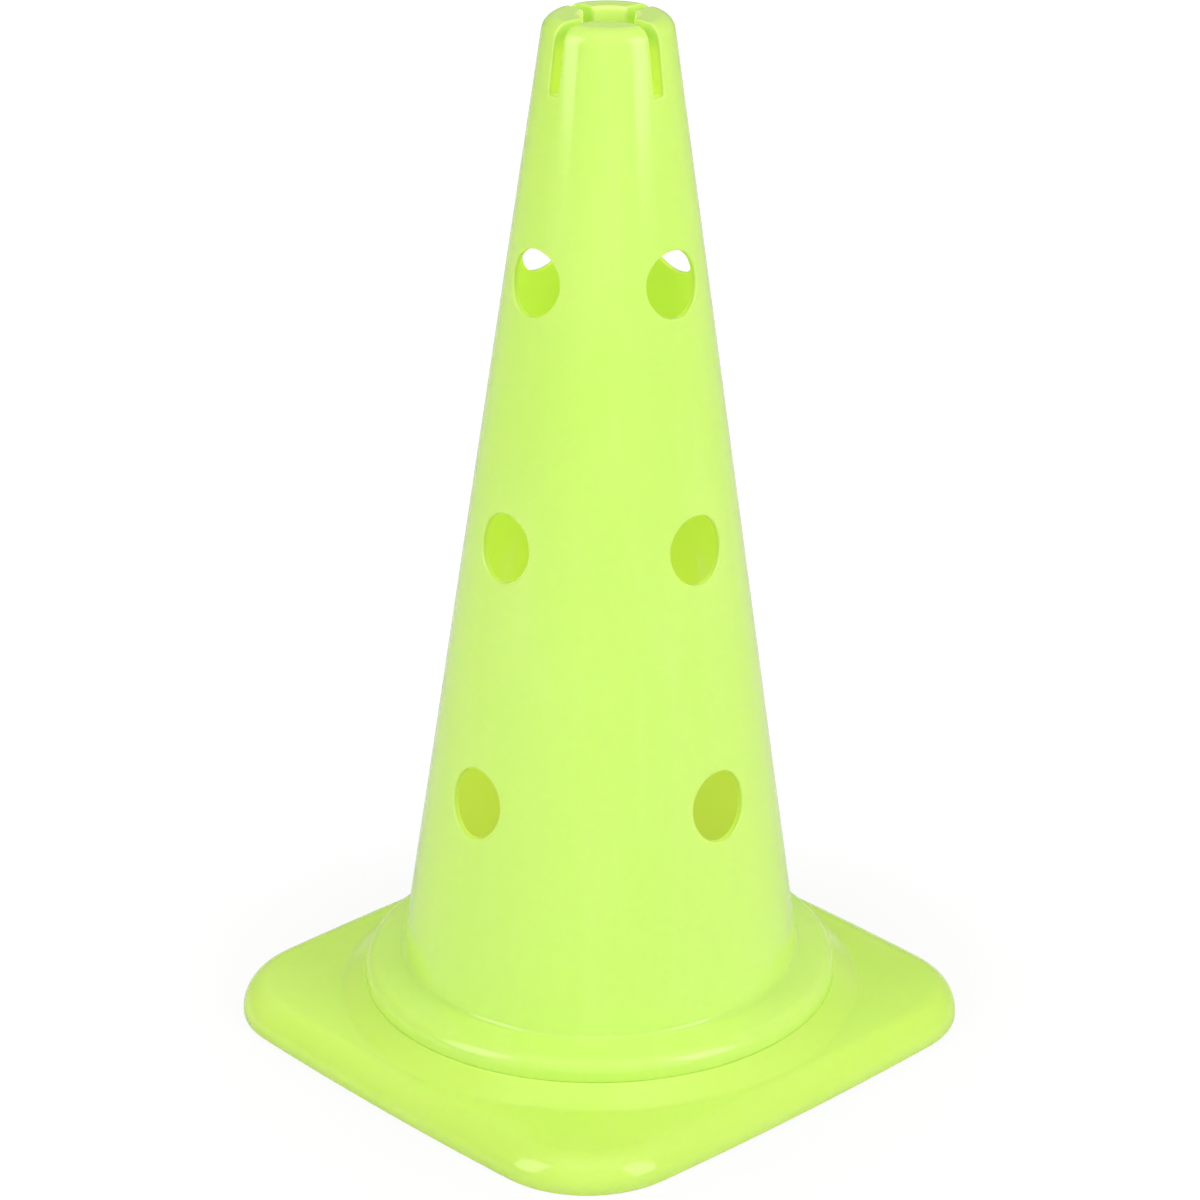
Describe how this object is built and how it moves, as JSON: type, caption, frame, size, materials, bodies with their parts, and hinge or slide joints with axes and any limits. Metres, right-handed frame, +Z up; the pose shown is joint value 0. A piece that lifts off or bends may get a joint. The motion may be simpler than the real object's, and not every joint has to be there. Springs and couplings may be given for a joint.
{
  "type": "traffic cone",
  "caption": "Hollow tapered marker cone with round pole holes up its sides, a slotted crown with a pole opening, and a square snap-in base plate with rounded corners.",
  "frame": {"origin": "centre of the square footprint on the floor, at the underside of the base plate's skirt", "axes": "+Z up along the cone's axis; the base's sides, the pole holes and the crown's slots face +X, -X, +Y and -Y"},
  "size_m": [0.2836, 0.2836, 0.5],
  "materials": {
    "body_plastic": "glossy, slightly translucent fluorescent yellow-green polyethylene",
    "base_plastic": "glossy, slightly translucent fluorescent yellow-green polyethylene"
  },
  "bodies": {
    "root": {"cone_body": "body_plastic", "base_plate": "base_plastic"}
  },
  "joints": []
}
